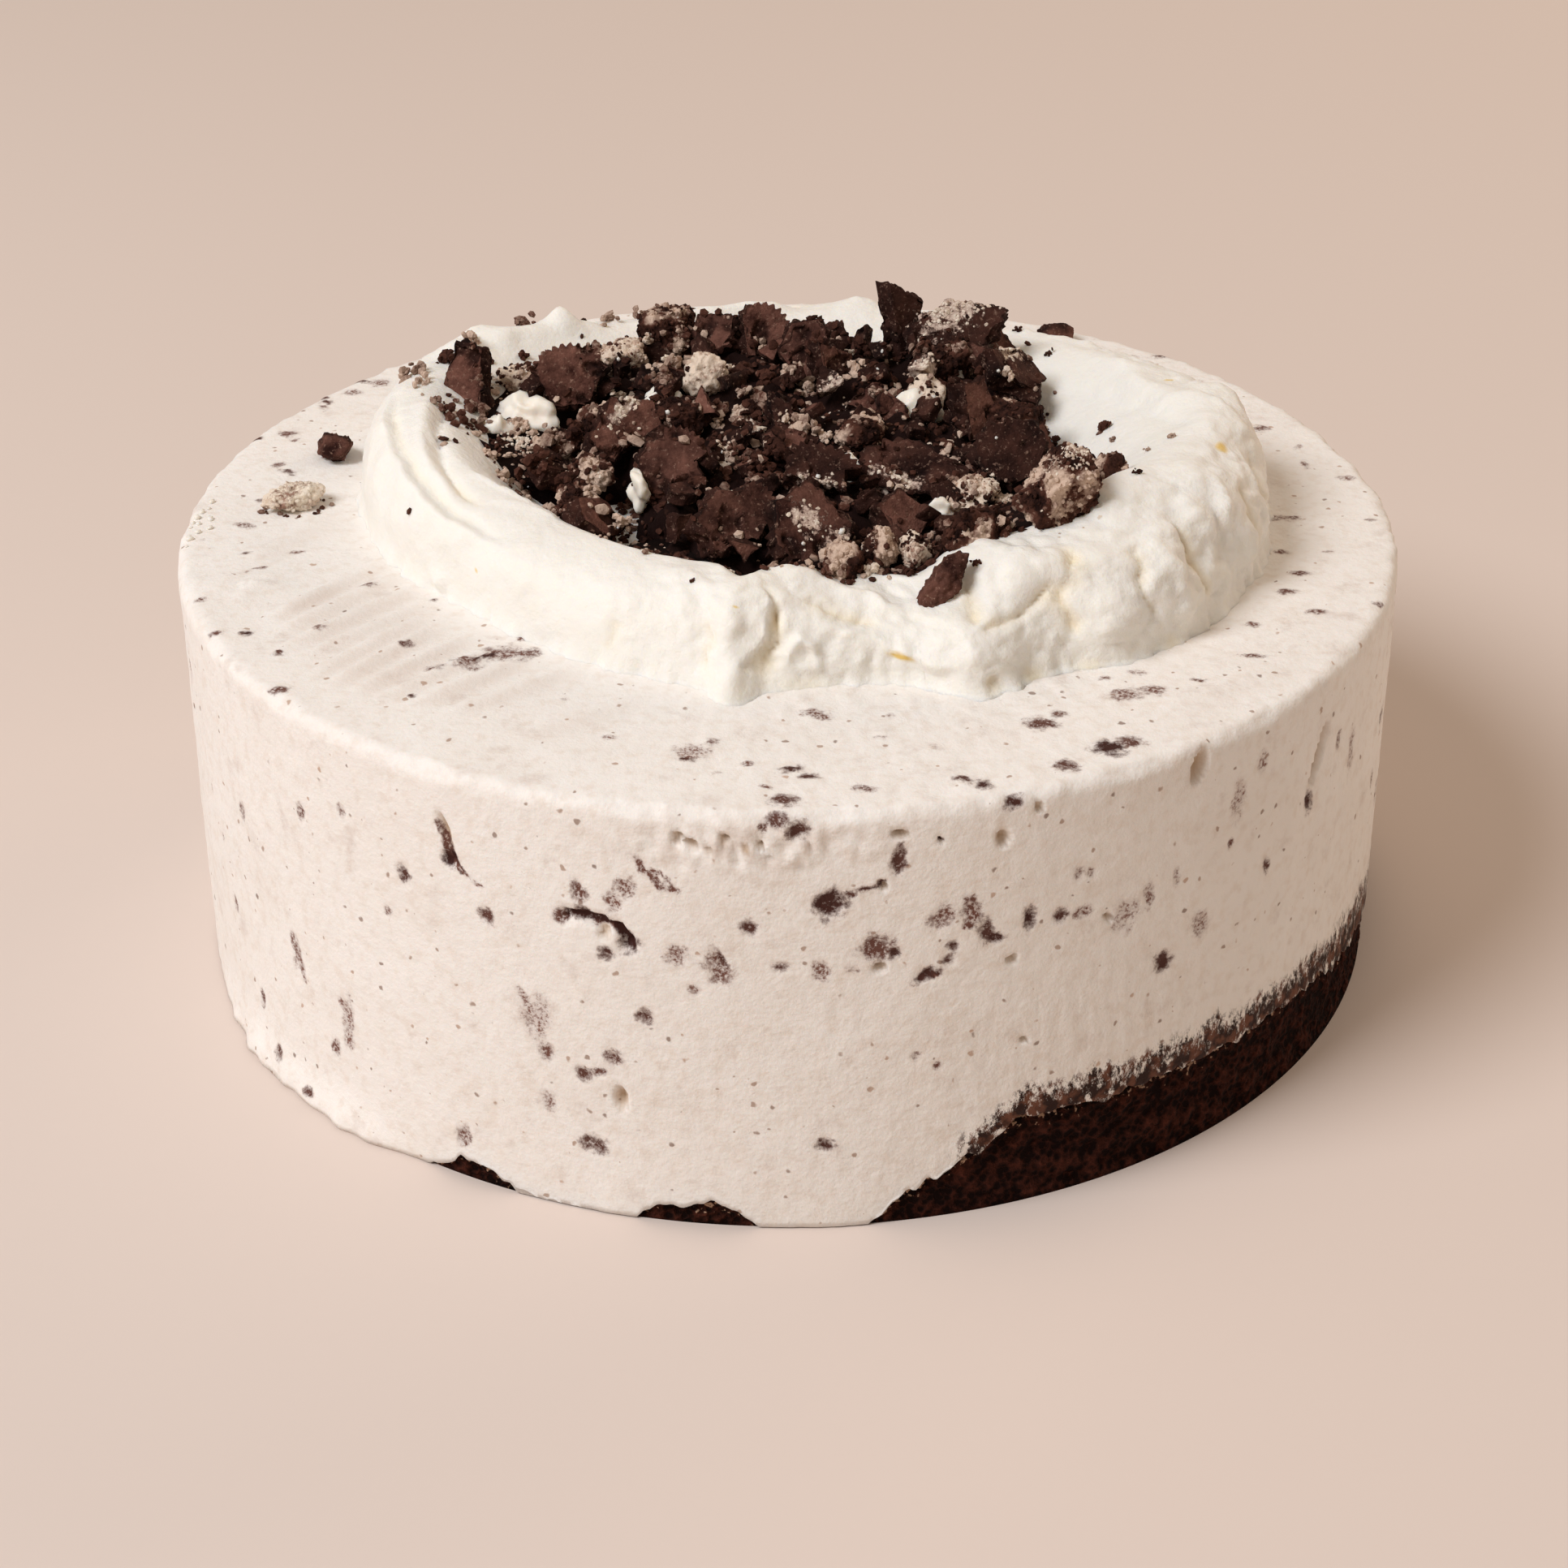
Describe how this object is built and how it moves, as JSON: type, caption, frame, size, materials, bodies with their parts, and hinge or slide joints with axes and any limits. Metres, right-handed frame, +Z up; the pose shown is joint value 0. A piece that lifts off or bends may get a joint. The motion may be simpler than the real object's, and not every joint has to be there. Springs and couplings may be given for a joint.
{
  "type": "ice cream cake",
  "caption": "Round cookies-and-cream ice cream cake on a dark sponge base, topped with a swirled ring of whipped cream filled with broken cocoa cookies.",
  "frame": {"origin": "centre of the round face that the cake rests on, at its lowest level", "axes": "+Z up from the resting face through the whipped cream; -Y is the front, the side the picture was taken from; +X is to the right of the front"},
  "size_m": [0.2288, 0.2294, 0.1106],
  "materials": {
    "ice_cream": "frozen, finely granular, satin",
    "sponge": "crumbly, matte",
    "whipped_cream": "smooth, soft satin",
    "cookie": "baked, rough, matte",
    "filling": "dusty, matte"
  },
  "bodies": {
    "root": {"sponge_base": "sponge", "ice_cream": "ice_cream", "whipped_cream": "whipped_cream", "cookie_heap": "cookie", "front_wafer": "cookie", "left_wafer": "cookie", "back_wafer": "cookie", "filling_crumb": "filling"}
  },
  "joints": []
}
